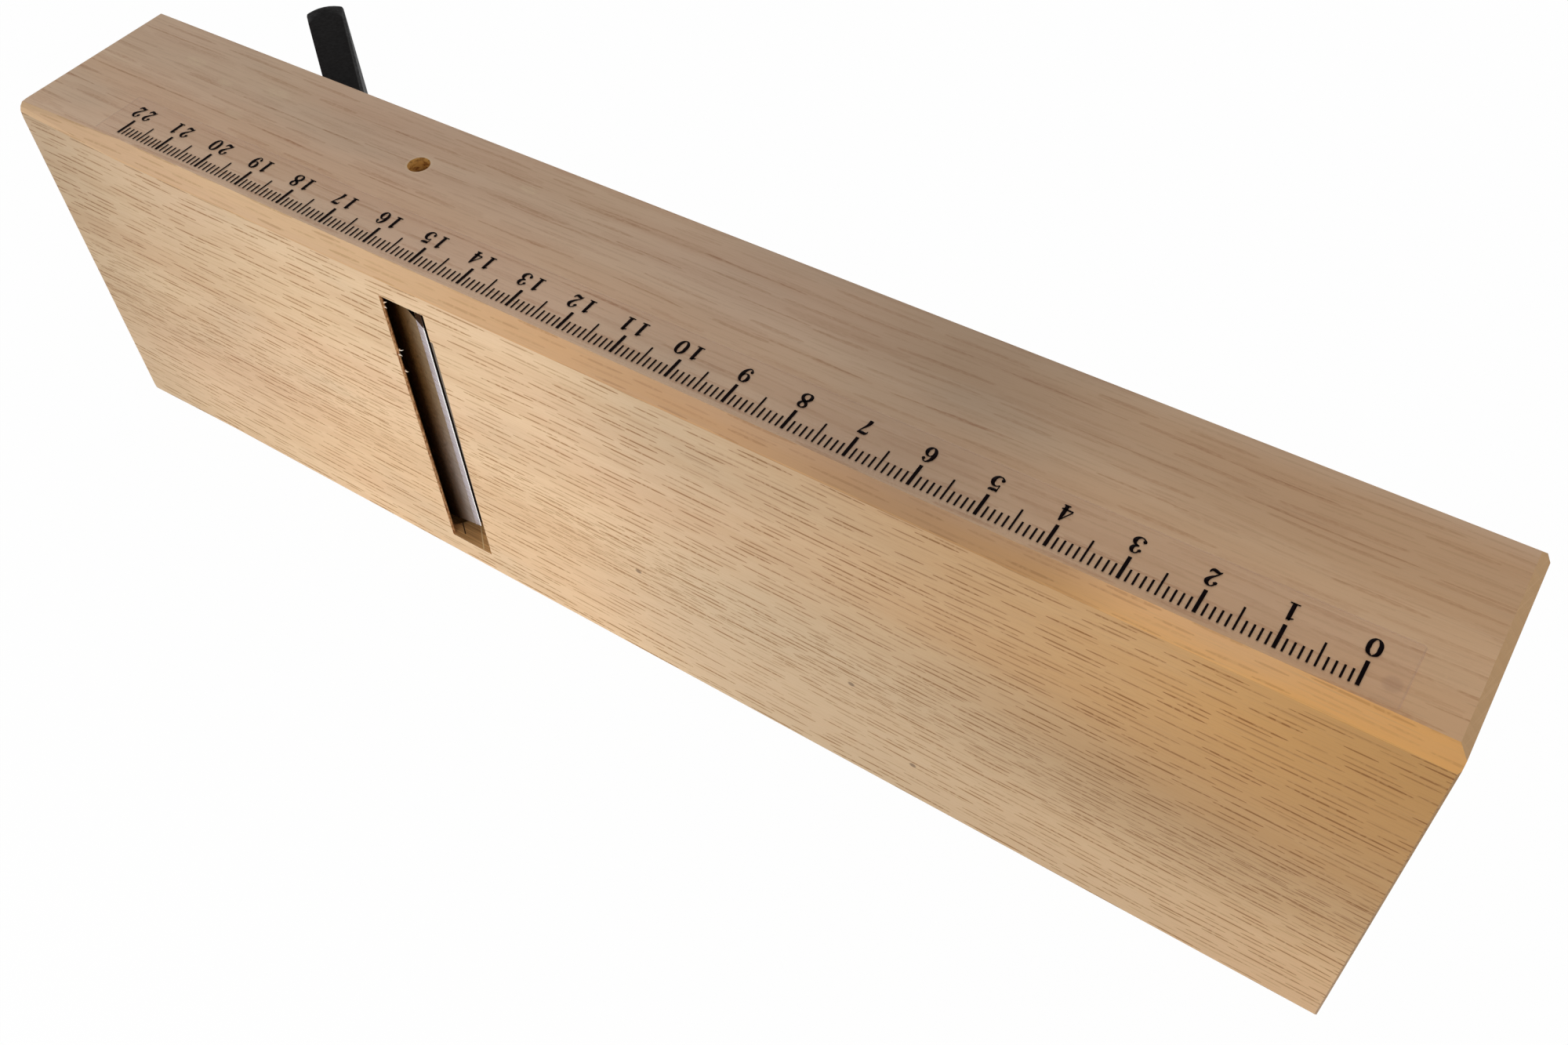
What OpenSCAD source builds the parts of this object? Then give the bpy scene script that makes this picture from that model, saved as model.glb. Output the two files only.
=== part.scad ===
// Japanese hand plane with a wedge-shaped iron, lying on one cheek with its scale uppermost.
// The block's length runs along X, its thickness along Y and its width along Z.
// The sole faces -Y, the top face with the throat faces +Y, and the block rests on Z = 0.
// The origin is the centre of the cheek that it rests on. All lengths are in millimetres.

/* [Block] */
// Length of the oak block
block_len = 258; // [240:1:300]
// Thickness of the block, from the sole to the top face
block_h = 36; // [34:0.5:42]
// Cheek on the scale side, between the throat and the outside
scale_cheek = 6.6; // [5.6:0.1:12]
// Cheek on the side that the plane rests on
rest_cheek = 7.5; // [5.6:0.1:12]
// Chamfer along the sole's long edges, measured on the cheek
sole_chamfer_cheek = 2.2; // [1:0.1:3.5]
// Chamfer along the sole's long edges, measured on the sole
sole_chamfer_sole = 2.9; // [1:0.1:4]
// Chamfer along the top face's edges
top_chamfer = 1.4; // [0.5:0.1:3]
// Chamfer at the front end, where the scale starts
front_chamfer = 1.4; // [0.5:0.1:3]
// Chamfer at the rear end, towards the top face
rear_chamfer = 1.4; // [0.5:0.1:3]
// Small break on the other end edges
end_break = 0.3; // [0.1:0.1:1]
// Length over which the sole's chamfers run out into rounded edges, at the rear end
chamfer_runout = 26; // [10:1:40]

/* [Throat] */
// Distance from the rear end to the mouth's rear edge
mouth_from_rear = 88.8; // [80:0.1:110]
// Slope of the bed, measured from the sole
bed_angle = 37.25; // [35:0.25:42]
// Height of the small upright face that blunts the bed's thin edge at the mouth
mouth_relief = 0.54; // [0.1:0.02:1.2]
// Open gap in front of the cutting edge, once the edge is level with the sole
mouth_gap = 0.6; // [0.4:0.1:2]
// Height of the steep wall just above the mouth
neck_h = 7; // [4:0.5:10]
// How far that wall leans forward over its height
neck_lean = 0.5; // [0:0.1:2]
// Slope of the throat's front wall above it
front_angle = 66; // [55:1:75]
// Free play between the blade's side and its groove
groove_side_play = 0.3; // [0.2:0.05:0.8]
// Free play in front of the blade in its groove, with the blade fully down
groove_face_play = 0.1; // [0.05:0.01:0.2]

/* [Blade] */
// Width of the blade at its head
blade_w = 65; // [56:0.5:70]
// How far each side of the blade reaches into its groove
blade_lap = 2.3; // [1.5:0.1:3]
// How much narrower the blade is at its cutting end
blade_taper = 0.6; // [0:0.1:1]
// Length of the blade along its middle
blade_len = 99; // [85:0.5:110]
// Thickness of the blade at the cutting end
blade_edge_t = 5.05; // [4.8:0.05:6.5]
// Angle of the wedge between the blade's two faces
wedge_angle = 1.45; // [1:0.05:2]
// Angle of the ground bevel, measured from the flat face
bevel_angle = 27; // [25:0.5:30]
// Height of the cutting edge above the sole, with the blade drawn back at rest
edge_setback = 1.5; // [0.8:0.1:2.2]
// Gap between the blade's back and the bed
bed_play = 0.05; // [0.03:0.01:0.1]
// How far each end of the cutting edge stays inside the mouth
ear_inset = 5.3; // [3:0.1:8]
// Length of the ground-off corner, up to where the blade enters its groove
ear_run = 9.7; // [8:0.1:12]
// Length of the small second corner, inside the groove
ear_corner = 2.6; // [1.5:0.1:4]
// Rise of the head's middle above its corners
head_arch = 2.6; // [0.5:0.1:4]
// Rounding of the head's corners, seen from the front
head_corner_r = 4.5; // [3:0.1:8]
// Crown of the head across the blade's thickness
head_crown = 0.5; // [0.2:0.1:1]
// Rounding of the head's edges
head_round = 0.6; // [0.3:0.1:1.2]
// Length over which the straight sides run into the rounded head
head_blend = 4; // [2:0.5:8]
// Bevel on the blade's long front edges
blade_arris = 0.8; // [0.3:0.1:1.2]
// Thickness of the hard steel layer on the flat face
steel_t = 0.9; // [0.7:0.05:1.2]
// Length of the steel layer
steel_len = 57; // [45:1:65]
// Depth of the hollow ground in the flat face
hollow_depth = 0.3; // [0.1:0.05:0.5]
// Flat land between the hollow and the cutting edge
hollow_land = 4.5; // [3:0.5:8]
// Flat land between the hollow and each side
hollow_side = 6; // [4:0.5:9]
// Distance from the hollow's upper end to the end of the steel layer
hollow_end = 8; // [5:0.5:12]

/* [Chipbreaker] */
// Length of the chipbreaker
chip_len = 56; // [50:0.5:66]
// Thickness of the chipbreaker
chip_t = 2.9; // [2.2:0.1:3.4]
// Gap between each side of the chipbreaker and the cheeks
chip_side_play = 0.5; // [0.3:0.1:1.5]
// How far its edge stays behind the cutting edge
chip_back = 2; // [1.6:0.1:4]
// Gap between its edge and the blade's flat face
chip_play = 0.05; // [0.03:0.01:0.1]
// Angle at which it stands off the blade, from its edge to its ears
chip_tilt = 2; // [1.5:0.1:2.5]
// Slope of the bevel along its edge
chip_bevel_angle = 28; // [22:1:35]
// Height of the small steep bevel at the edge itself
chip_nose = 0.45; // [0.2:0.05:0.8]
// Length of the bent corner, along each side of the corner
chip_ear = 6.5; // [5.5:0.5:9]
// Corner taken off each end of its edge
chip_clip = 3.6; // [2:0.1:6]

/* [Pin] */
// Diameter of the hole for the steel pin
pin_bore_d = 4; // [3:0.1:4.6]
// Radial gap between the pin and its hole
pin_fit = 0.03; // [0.01:0.01:0.06]
// Distance of the pin from the chipbreaker's edge
pin_up = 25.75; // [22:0.05:30]
// Gap between the pin and the chipbreaker at rest
pin_play = 0.3; // [0.25:0.01:0.4]
// Length of the pin held in each cheek
pin_grip = 3.6; // [2.5:0.1:4.6]

/* [Scale] */
// Distance from the front end to the scale's zero
scale_zero = 13.7; // [10:0.1:30]
// Length of the scale
scale_len = 220; // [160:10:220]
// Clear film left beyond each end of the scale
film_end = 5.2; // [2:0.1:8]
// Width of the clear film
film_w = 10.6; // [8:0.1:14]
// Thickness of the clear film
film_t = 0.1; // [0.1:0.05:0.3]
// Distance of the film from the chamfer
film_inset = 0.35; // [0.1:0.05:1]

/* [Hidden] */

// Extra length of a cut beyond the face that it opens
over = 5;
// Steps in a rounded outline, and facets of a round part
arc_steps = 12;
round_facets = 64;

// The throat is as wide as the blade, less what the blade's sides reach into their grooves
mouth_len = blade_w - 2 * blade_lap;
block_w = rest_cheek + mouth_len + scale_cheek;
throat_mid_z = rest_cheek + mouth_len / 2;
sole_y = -block_h / 2;
top_y = block_h / 2;
rear_x = -block_len / 2;
front_x = block_len / 2;
mouth_rear_x = rear_x + mouth_from_rear;

// The bed's slope would meet the sole this far in front of the blunted edge
bed_foot = mouth_relief / tan(bed_angle);

// The mouth is as long as the blade is thick on the slope of the bed, with a gap in front
mouth_w = bed_foot + blade_edge_t / sin(bed_angle) + mouth_gap;

// Places along the bed, from where its slope meets the sole: the cutting edge at rest and fully down
edge_s = (edge_setback - blade_edge_t * cos(bed_angle)) / sin(bed_angle);
down_s = -blade_edge_t * cos(bed_angle) / sin(bed_angle);
bed_len = block_h / sin(bed_angle);

// The bevel's slope against the bed, and where it meets the blade's back
bevel_slope = tan(bevel_angle - wedge_angle);
heel_q = (blade_edge_t - bed_play) / bevel_slope;

// Half widths of the blade: its cutting edge, its mouth width and its full width
edge_half = mouth_len / 2 - ear_inset;
groove_half = blade_w / 2 + groove_side_play;
ear_full_q = ear_run + ear_corner;

// Where the plain lower blade meets its upper part, just above the steel layer
joint_q = steel_len + steel_t * 5 / 3;

// The blade's flat face above the bed, a distance q behind the cutting edge
function flat_t(q) = blade_edge_t + q * tan(wedge_angle);
function bevel_t(q) = blade_edge_t - q * bevel_slope;
function half_w(q) = blade_w / 2 - blade_taper / 2 * (1 - q / blade_len);

// Points of a circular arc
function arc(centre, r, from, to) = [
  for (i = [0 : arc_steps])
    let (a = from + (to - from) * i / arc_steps)
    [centre[0] + r * cos(a), centre[1] + r * sin(a)]
];

// Radius of an arc from its chord and its rise
function arch_r(chord, rise) = (chord * chord / 4 + rise * rise) / (2 * rise);

// Places a solid drawn on the bed: s runs up the bed, t stands off it, z is across the throat
module on_bed() {
  translate([mouth_rear_x + bed_foot, sole_y, throat_mid_z])
    rotate([0, 0, -bed_angle])
      mirror([1, 0, 0])
        children();
}

// Places a solid drawn from the cutting edge: q runs up the bed, t stands off the bed
module on_blade() {
  on_bed() translate([edge_s, 0, 0]) children();
}

// Places a solid drawn on the chipbreaker's underside, from its edge
module on_chip() {
  on_blade()
    translate([0, blade_edge_t, 0])
      rotate([0, 0, wedge_angle])
        translate([chip_back, chip_play, 0])
          rotate([0, 0, chip_tilt])
            children();
}

// A straight bar with a side outline, centred across the throat
module across(width) {
  translate([0, 0, -width / 2])
    linear_extrude(height = width)
      children();
}

// Block

// Outline of the block across its length, with the top face's chamfered long edges
module block_section() {
  polygon([
    [sole_y, 0],
    [top_y - top_chamfer, 0],
    [top_y, top_chamfer],
    [top_y, block_w - top_chamfer],
    [top_y - top_chamfer, block_w],
    [sole_y, block_w]
  ]);
}

// Outline with the corners taken off at the front end and at the rear end
module end_outline(low, high, front_low, front_high, rear_high) {
  polygon([
    [rear_x, low + end_break],
    [rear_x + end_break, low],
    [front_x - front_low, low],
    [front_x, low + front_low],
    [front_x, high - front_high],
    [front_x - front_high, high],
    [rear_x + rear_high, high],
    [rear_x, high - rear_high]
  ]);
}

// What is cut from a long edge of the sole. It is a flat chamfer that runs out into a rounded
// edge at the rear end. Its sections go from the cheek round to the sole and back outside the block.
module sole_edge_cut() {
  a = sole_chamfer_cheek;
  b = sole_chamfer_sole;
  outside = [[-over, b], [-over, -over], [a, -over]];
  flat = concat([[a, 0], [0, b]], outside);
  round = concat([for (i = [0 : 4]) let (t = 22.5 * i) [a - a * sin(t), b - b * cos(t)]], outside);
  polyhedron(
    points = concat(
      [for (p = flat) [front_x + over, sole_y + p[0], p[1]]],
      [for (p = flat) [rear_x + chamfer_runout, sole_y + p[0], p[1]]],
      [for (p = round) [rear_x, sole_y + p[0], p[1]]],
      [for (p = round) [rear_x - over, sole_y + p[0], p[1]]]
    ),
    faces = concat(
      [[4, 3, 2, 1, 0]],
      [for (i = [0 : 4]) let (j = (i + 1) % 5) [i, j, 5 + j, 5 + i]],
      [[5, 11, 10], [5, 12, 11], [5, 6, 12], [6, 13, 12], [6, 14, 13]],
      [[6, 7, 15, 14], [7, 8, 16, 15], [8, 9, 17, 16], [9, 5, 10, 17]],
      [for (i = [0 : 7]) let (j = (i + 1) % 8) [10 + i, 10 + j, 18 + j, 18 + i]],
      [[18, 19, 20, 21, 22, 23, 24, 25]]
    )
  );
}

module block_blank() {
  intersection() {
    translate([rear_x, 0, 0])
      rotate([90, 0, 90])
        linear_extrude(height = block_len)
          block_section();
    linear_extrude(height = block_w)
      end_outline(sole_y, top_y, end_break, front_chamfer, rear_chamfer);
    translate([0, top_y, 0])
      rotate([90, 0, 0])
        linear_extrude(height = block_h)
          end_outline(0, block_w, front_chamfer, front_chamfer, end_break);
  }
}

// Side outline of the throat, from the mouth's rear edge at the sole
module throat_outline() {
  polygon([
    [0, -over],
    [mouth_w, -over],
    [mouth_w, 0],
    [mouth_w + neck_lean, neck_h],
    [mouth_w + neck_lean + (block_h + over - neck_h) / tan(front_angle), block_h + over],
    [bed_foot - (block_h + over) / tan(bed_angle), block_h + over],
    [0, mouth_relief]
  ]);
}

// Side outline of the two blade grooves. Its foot follows the bevel, so the sole stays closed.
module groove_outline() {
  start_q = ear_run - groove_side_play;
  foot_t = bevel_t(start_q) - groove_side_play;
  end_s = bed_len + over;
  polygon([
    [down_s + start_q, foot_t],
    [down_s + start_q + foot_t / bevel_slope, 0],
    [end_s, 0],
    [end_s, flat_t(end_s - down_s) + groove_face_play],
    [down_s + start_q, flat_t(start_q) + groove_face_play]
  ]);
}

// Axis of the pin, square to the cheeks and just in front of the chipbreaker
module on_pin() {
  on_chip()
    translate([pin_up, chip_t + pin_play + pin_bore_d / 2 - pin_fit, 0])
      children();
}

// The pin's hole runs in from the scale side, over the throat and a little into the far cheek
module pin_bore() {
  far_end = -mouth_len / 2 - pin_grip - pin_fit;
  on_pin()
    translate([0, 0, far_end])
      cylinder(d = pin_bore_d, h = mouth_len / 2 + scale_cheek + over - far_end, $fn = round_facets);
}

module block() {
  color([0.84, 0.70, 0.54])
    difference() {
      block_blank();
      sole_edge_cut();
      translate([0, 0, block_w]) mirror([0, 0, 1]) sole_edge_cut();
      translate([mouth_rear_x, sole_y, throat_mid_z]) across(mouth_len) throat_outline();
      on_bed() across(2 * groove_half) groove_outline();
      pin_bore();
    }
}

// Blade

// Side outline of the lower blade: flat face, back and bevel
module blade_outline() {
  polygon([
    [0, blade_edge_t],
    [heel_q, bed_play],
    [joint_q, bed_play],
    [joint_q, flat_t(joint_q)]
  ]);
}

// Front outline of the lower blade: cutting edge, ground-off corners and a slight taper
module blade_front() {
  half = [[0, edge_half], [ear_run, mouth_len / 2], [ear_full_q, half_w(ear_full_q)], [joint_q, half_w(joint_q)]];
  polygon(concat(half, [for (i = [len(half) - 1 : -1 : 0]) [half[i][0], -half[i][1]]]));
}

// Stations round the head's outline, each with its place along and across the blade and its bearing
head_q = blade_len - head_arch - head_corner_r;
head_half = half_w(head_q) - head_corner_r;
head_r = arch_r(2 * head_half, head_arch);
head_span = asin(head_half / head_r);
corner_stations = [
  for (i = [0 : 6])
    let (a = 90 - (90 - head_span) * i / 6)
    [head_q + head_corner_r * cos(a), head_half + head_corner_r * sin(a), a]
];
head_stations = concat(
  corner_stations,
  [for (i = [1 : 7])
    let (a = head_span * (1 - i / 4))
    [blade_len - head_r + head_r * cos(a), head_r * sin(a), a]],
  [for (i = [6 : -1 : 0])
    let (s = corner_stations[i])
    [s[0], -s[1], -s[2]]]
);

// The head's profile, slightly crowned with rounded edges, from the blade's back to its flat face.
// Each point has its distance inside the outline and its height as a share of the thickness.
round_share = head_round / (flat_t(head_q) - bed_play);
head_profile = concat(
  [[head_crown + head_round, 0], [head_crown + 0.3 * head_round, 0.3 * round_share]],
  [for (i = [-3 : 3]) [head_crown * i * i / 9, 0.5 + i / 3 * (0.5 - round_share)]],
  [[head_crown + 0.3 * head_round, 1 - 0.3 * round_share], [head_crown + head_round, 1]]
);
profile_n = len(head_profile);
profile_mid = (profile_n - 1) / 2;

function head_point(s, p) =
  let (q = s[0] - p[0] * cos(s[2]))
  [q, bed_play + p[1] * (flat_t(q) - bed_play), s[1] - p[0] * sin(s[2])];

// A section of the blade with bevelled front edges, from one back corner round to the other
function blade_section(q) =
  let (cut = blade_arris / sqrt(2))
  [
    [q, bed_play, -half_w(q)],
    [q, bed_play, half_w(q)],
    [q, flat_t(q) - cut, half_w(q)],
    [q, flat_t(q), half_w(q) - cut],
    [q, flat_t(q), -half_w(q) + cut],
    [q, flat_t(q) - cut, -half_w(q)]
  ];

// Upper blade, from above the steel layer to the head, with bevels on its long front edges
module blade_upper() {
  first = 12;
  last = first + profile_n * (len(head_stations) - 1);
  mid = profile_mid;
  end = profile_n - 1;
  polyhedron(
    points = concat(
      blade_section(joint_q),
      blade_section(head_q - head_blend),
      [for (s = head_stations, p = head_profile) head_point(s, p)]
    ),
    faces = concat(
      [[5, 4, 3, 2, 1, 0]],
      [for (j = [0 : 5]) let (k = (j + 1) % 6) [j, k, 6 + k, 6 + j]],
      [concat([6, 7], [for (i = [0 : len(head_stations) - 1]) first + i * profile_n])],
      [concat([9, 10], [for (i = [len(head_stations) - 1 : -1 : 0]) first + i * profile_n + end])],
      [for (k = [0 : mid - 1]) [7, first + k + 1, first + k]],
      [[7, 8, first + mid]],
      [for (k = [mid : end - 2]) [8, first + k + 1, first + k]],
      [[8, 9, first + end - 1], [9, first + end, first + end - 1]],
      [[10, last + end - 1, last + end], [10, 11, last + end - 1]],
      [for (k = [end - 1 : -1 : mid + 1]) [11, last + k - 1, last + k]],
      [[11, 6, last + mid]],
      [for (k = [mid : -1 : 1]) [6, last + k - 1, last + k]],
      [for (i = [0 : len(head_stations) - 2], j = [0 : end - 1])
        let (a = first + i * profile_n + j, b = a + profile_n)
        [a, a + 1, b + 1]],
      [for (i = [0 : len(head_stations) - 2], j = [0 : end - 1])
        let (a = first + i * profile_n + j, b = a + profile_n)
        [a, b + 1, b]]
    )
  );
}

// Side outline of the steel layer, which runs out to nothing at its upper end
module steel_outline() {
  cut_q = steel_t / (bevel_slope + tan(wedge_angle));
  polygon([
    [0, blade_edge_t],
    [cut_q, bevel_t(cut_q)],
    [steel_len - 4 * steel_t, flat_t(steel_len - 4 * steel_t) - steel_t],
    [steel_len, flat_t(steel_len)]
  ]);
}

// The steel's seat in the iron: the same slope and end, drawn on past the blade's faces
module steel_seat() {
  polygon([
    [-steel_t, flat_t(-steel_t) - steel_t],
    [steel_len - 4 * steel_t, flat_t(steel_len - 4 * steel_t) - steel_t],
    [steel_len + 4 * steel_t, flat_t(steel_len + 4 * steel_t) + steel_t],
    [-steel_t, flat_t(-steel_t) + steel_t]
  ]);
}

module blade_plate() {
  rotate([-90, 0, 0])
    linear_extrude(height = 2 * flat_t(blade_len))
      blade_front();
}

// Shallow hollow in the flat face, rounded at its upper end
module hollow() {
  half = half_w(0) - hollow_side;
  straight = steel_len - hollow_end - half / 2;
  translate([0, blade_edge_t, 0])
    rotate([0, 0, wedge_angle])
      rotate([-90, 0, 0])
        translate([0, 0, -hollow_depth])
          linear_extrude(height = 2 * hollow_depth)
            polygon(concat(
              [[hollow_land + ear_inset, -half], [hollow_land, -edge_half + hollow_side]],
              [[hollow_land, edge_half - hollow_side], [hollow_land + ear_inset, half]],
              [for (i = [0 : arc_steps])
                let (a = 90 - 180 * i / arc_steps)
                [straight + half / 2 * cos(a), half * sin(a)]]
            ));
}

module blade_iron() {
  color([0.10, 0.09, 0.10])
    on_blade()
      union() {
        difference() {
          intersection() {
            across(2 * blade_w) blade_outline();
            blade_plate();
          }
          across(3 * blade_w) steel_seat();
        }
        blade_upper();
      }
}

module blade_steel() {
  color([0.66, 0.64, 0.66])
    on_blade()
      difference() {
        intersection() {
          across(2 * blade_w) steel_outline();
          blade_plate();
        }
        hollow();
      }
}

// Chipbreaker

chip_half = mouth_len / 2 - chip_side_play;
// Length of the fold across a corner, how far its tip reaches, and the bend that brings it down
chip_fold = chip_ear * sqrt(2);
ear_reach = chip_ear / sqrt(2);
ear_bend = asin(chip_len * sin(chip_tilt) / ear_reach);
ear_root = 1.2;
ear_inset_e = 0.2;

module chip_outline() {
  bevel_run = (chip_t - chip_nose) / tan(chip_bevel_angle);
  polygon([
    [0, 0],
    [chip_len, 0],
    [chip_len, chip_t],
    [bevel_run + chip_nose / 2, chip_t],
    [chip_nose / 2, chip_nose]
  ]);
}

// Front outline of the flat part, without the two corners that are bent down
module chip_front() {
  polygon([
    [0, -chip_half + chip_clip],
    [chip_clip, -chip_half],
    [chip_len - chip_ear, -chip_half],
    [chip_len, -chip_half + chip_ear],
    [chip_len, chip_half - chip_ear],
    [chip_len - chip_ear, chip_half],
    [chip_clip, chip_half],
    [0, chip_half - chip_clip]
  ]);
}

// Section of a bent corner square to its fold, with a rounded back to the bend
module ear_section() {
  polygon(concat(
    [[-ear_root, chip_t / 4], [0, 0]],
    [[ear_reach * cos(ear_bend), -ear_reach * sin(ear_bend)]],
    [[ear_reach * cos(ear_bend) + chip_t * sin(ear_bend), chip_t * cos(ear_bend) - ear_reach * sin(ear_bend)]],
    [for (i = [0 : 4]) let (a = 90 - ear_bend * (1 - i / 4)) [chip_t * cos(a), chip_t * sin(a)]],
    [[-ear_root, chip_t * 3 / 4]]
  ));
}

// Plan of a bent corner: x runs along the fold, y out to the tip and a little back into the plate
module ear_plan() {
  tip = ear_reach * cos(ear_bend) + chip_t * sin(ear_bend);
  polygon([
    [ear_inset_e, 0],
    [chip_fold / 2, tip],
    [chip_fold - ear_inset_e, 0],
    [chip_fold - 2 * ear_root, -2 * ear_root],
    [2 * ear_root, -2 * ear_root]
  ]);
}

// One bent corner, placed at the outer end of its fold
module chip_corner() {
  translate([chip_len - chip_ear, 0, chip_half])
    rotate([0, 45, 0])
      intersection() {
        rotate([90, 0, 0])
          translate([0, 0, -2 * chip_t])
            linear_extrude(height = 4 * chip_t)
              ear_plan();
        rotate([0, 90, 0])
          translate([0, 0, -1])
            linear_extrude(height = chip_fold + 2)
              mirror([1, 0, 0])
                ear_section();
      }
}

module chipbreaker() {
  color([0.34, 0.33, 0.35])
    on_chip() {
      intersection() {
        across(2 * chip_half) chip_outline();
        rotate([-90, 0, 0]) linear_extrude(height = 2 * chip_t) chip_front();
      }
      chip_corner();
      mirror([0, 0, 1]) chip_corner();
    }
}

// Pin

module chipbreaker_pin() {
  pin_r = pin_bore_d / 2 - pin_fit;
  pin_len = mouth_len + 2 * pin_grip;
  tip = 0.4;
  color([0.60, 0.60, 0.62])
    on_pin()
      translate([0, 0, -pin_len / 2])
        rotate_extrude($fn = round_facets)
          polygon([[0, 0], [pin_r - tip, 0], [pin_r, tip], [pin_r, pin_len - tip], [pin_r - tip, pin_len], [0, pin_len]]);
}

// Scale film

module scale_film() {
  film_y = sole_y + sole_chamfer_cheek + film_inset;
  color([0.80, 0.72, 0.62, 0.35])
    translate([front_x - scale_zero - scale_len - film_end, film_y, block_w])
      linear_extrude(height = film_t)
        square([scale_len + 2 * film_end, film_w]);
}

block();
blade_iron();
blade_steel();
chipbreaker();
chipbreaker_pin();
scale_film();
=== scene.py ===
import math

import bpy
from mathutils import Matrix, Vector


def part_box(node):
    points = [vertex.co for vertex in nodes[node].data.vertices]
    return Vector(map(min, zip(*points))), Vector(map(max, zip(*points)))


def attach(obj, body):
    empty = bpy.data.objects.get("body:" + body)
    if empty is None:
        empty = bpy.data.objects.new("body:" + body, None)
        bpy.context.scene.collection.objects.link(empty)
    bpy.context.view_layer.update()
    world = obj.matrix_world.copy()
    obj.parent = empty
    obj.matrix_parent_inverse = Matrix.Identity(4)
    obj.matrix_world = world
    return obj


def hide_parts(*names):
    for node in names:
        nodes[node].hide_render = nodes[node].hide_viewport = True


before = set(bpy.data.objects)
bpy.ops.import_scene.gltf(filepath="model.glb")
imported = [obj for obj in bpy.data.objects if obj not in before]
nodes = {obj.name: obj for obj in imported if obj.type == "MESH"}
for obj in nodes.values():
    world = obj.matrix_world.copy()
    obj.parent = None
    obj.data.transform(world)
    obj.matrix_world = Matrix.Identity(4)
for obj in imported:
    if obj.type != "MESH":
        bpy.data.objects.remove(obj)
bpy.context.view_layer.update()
mm = 0.001

white = (1, 1, 1, 1)

# small tools for building node trees and for shaping pieces


def colour(red, green, blue):
    # a colour as picked from the screen, turned into what a shader takes
    linear = []
    for c in (red, green, blue):
        share = c / 255
        linear.append(((share + 0.055) / 1.055) ** 2.4 if c > 10 else share / 12.92)
    return (*linear, 1.0)


def addNode(tree, kind, **settings):
    made = tree.nodes.new("ShaderNode" + kind)
    made.location = (-180 * (len(tree.nodes) // 8), -170 * (len(tree.nodes) % 8))
    for name, value in settings.items():
        setattr(made, name, value)
    return made


def feed(tree, value, socket):
    if isinstance(value, bpy.types.NodeSocket):
        tree.links.new(value, socket)
    else:
        socket.default_value = value


def calc(tree, operation, a, b=None, clamp=False):
    made = addNode(tree, "Math", operation=operation, use_clamp=clamp)
    feed(tree, a, made.inputs[0])
    if b is not None:
        feed(tree, b, made.inputs[1])
    return made.outputs[0]


def times(tree, first, *others):
    for other in others:
        first = calc(tree, "MULTIPLY", first, other)
    return first


def plus(tree, a, b):
    return calc(tree, "ADD", a, b)


def minus(tree, a, b):
    return calc(tree, "SUBTRACT", a, b)


def rest(tree, share):
    # what a share leaves of one
    return calc(tree, "SUBTRACT", 1.0, share, clamp=True)


def most(tree, first, *others):
    for other in others:
        first = calc(tree, "MAXIMUM", first, other)
    return first


def over(tree, a, b):
    return calc(tree, "DIVIDE", a, b)


def unsigned(tree, a):
    # without its sign
    return calc(tree, "ABSOLUTE", a)


def fade(tree, value, start, stop, low=0.0, high=1.0):
    # a soft step: low before start, high after stop
    made = addNode(tree, "MapRange", interpolation_type="SMOOTHSTEP")
    feed(tree, value, made.inputs["Value"])
    made.inputs["From Min"].default_value = start
    made.inputs["From Max"].default_value = stop
    made.inputs["To Min"].default_value = low
    made.inputs["To Max"].default_value = high
    return made.outputs["Result"]


def pack(tree, x, y, z=0.0):
    made = addNode(tree, "CombineXYZ")
    for socket, value in zip(made.inputs, (x, y, z)):
        feed(tree, value, socket)
    return made.outputs[0]


def split(tree, vector):
    made = addNode(tree, "SeparateXYZ")
    tree.links.new(vector, made.inputs[0])
    return made.outputs[0], made.outputs[1], made.outputs[2]


def stretched(tree, parts, sizes, start=(0.5, 0.5, 0.5)):
    # coordinates divided by the length of one feature in each direction, then moved
    moved = []
    for part, size, shift in zip(parts, sizes, start):
        moved.append(plus(tree, over(tree, part, size), shift))
    return pack(tree, *moved)


def grainNoise(tree, vector, detail=2.0, roughness=0.5, distortion=0.0):
    made = addNode(tree, "TexNoise", noise_dimensions="3D")
    tree.links.new(vector, made.inputs["Vector"])
    made.inputs["Scale"].default_value = 1.0
    made.inputs["Detail"].default_value = detail
    made.inputs["Roughness"].default_value = roughness
    made.inputs["Distortion"].default_value = distortion
    return made.outputs["Fac"]


def blend(tree, factor, a, b, mode="MIX"):
    made = addNode(tree, "Mix", data_type="RGBA", blend_type=mode)
    feed(tree, factor, made.inputs[0])
    feed(tree, a, made.inputs[6])
    feed(tree, b, made.inputs[7])
    return made.outputs[2]


def millimetres(tree):
    # the object's own coordinates in millimetres, and its own normal
    where = addNode(tree, "TexCoord")
    scaled = addNode(tree, "Mapping", vector_type="POINT")
    scaled.inputs["Scale"].default_value = (1000, 1000, 1000)
    tree.links.new(where.outputs["Object"], scaled.inputs["Vector"])
    return split(tree, scaled.outputs[0]), split(tree, where.outputs["Normal"])


def seenDirectly(tree):
    # one where the eye meets it straight, in a mirror or through glass, zero for the light that it gives
    rays = addNode(tree, "LightPath")
    return most(tree, rays.outputs["Is Camera Ray"], rays.outputs["Is Glossy Ray"],
                rays.outputs["Is Transmission Ray"])


def newMaterial(name, **settings):
    material = bpy.data.materials.new(name)
    material.use_nodes = True
    tree = material.node_tree
    tree.nodes.clear()
    shader = addNode(tree, "BsdfPrincipled")
    tree.links.new(shader.outputs[0], addNode(tree, "OutputMaterial").inputs["Surface"])
    for socket, value in settings.items():
        shader.inputs[socket.replace("_", " ")].default_value = value
    return material, tree, shader


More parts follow.
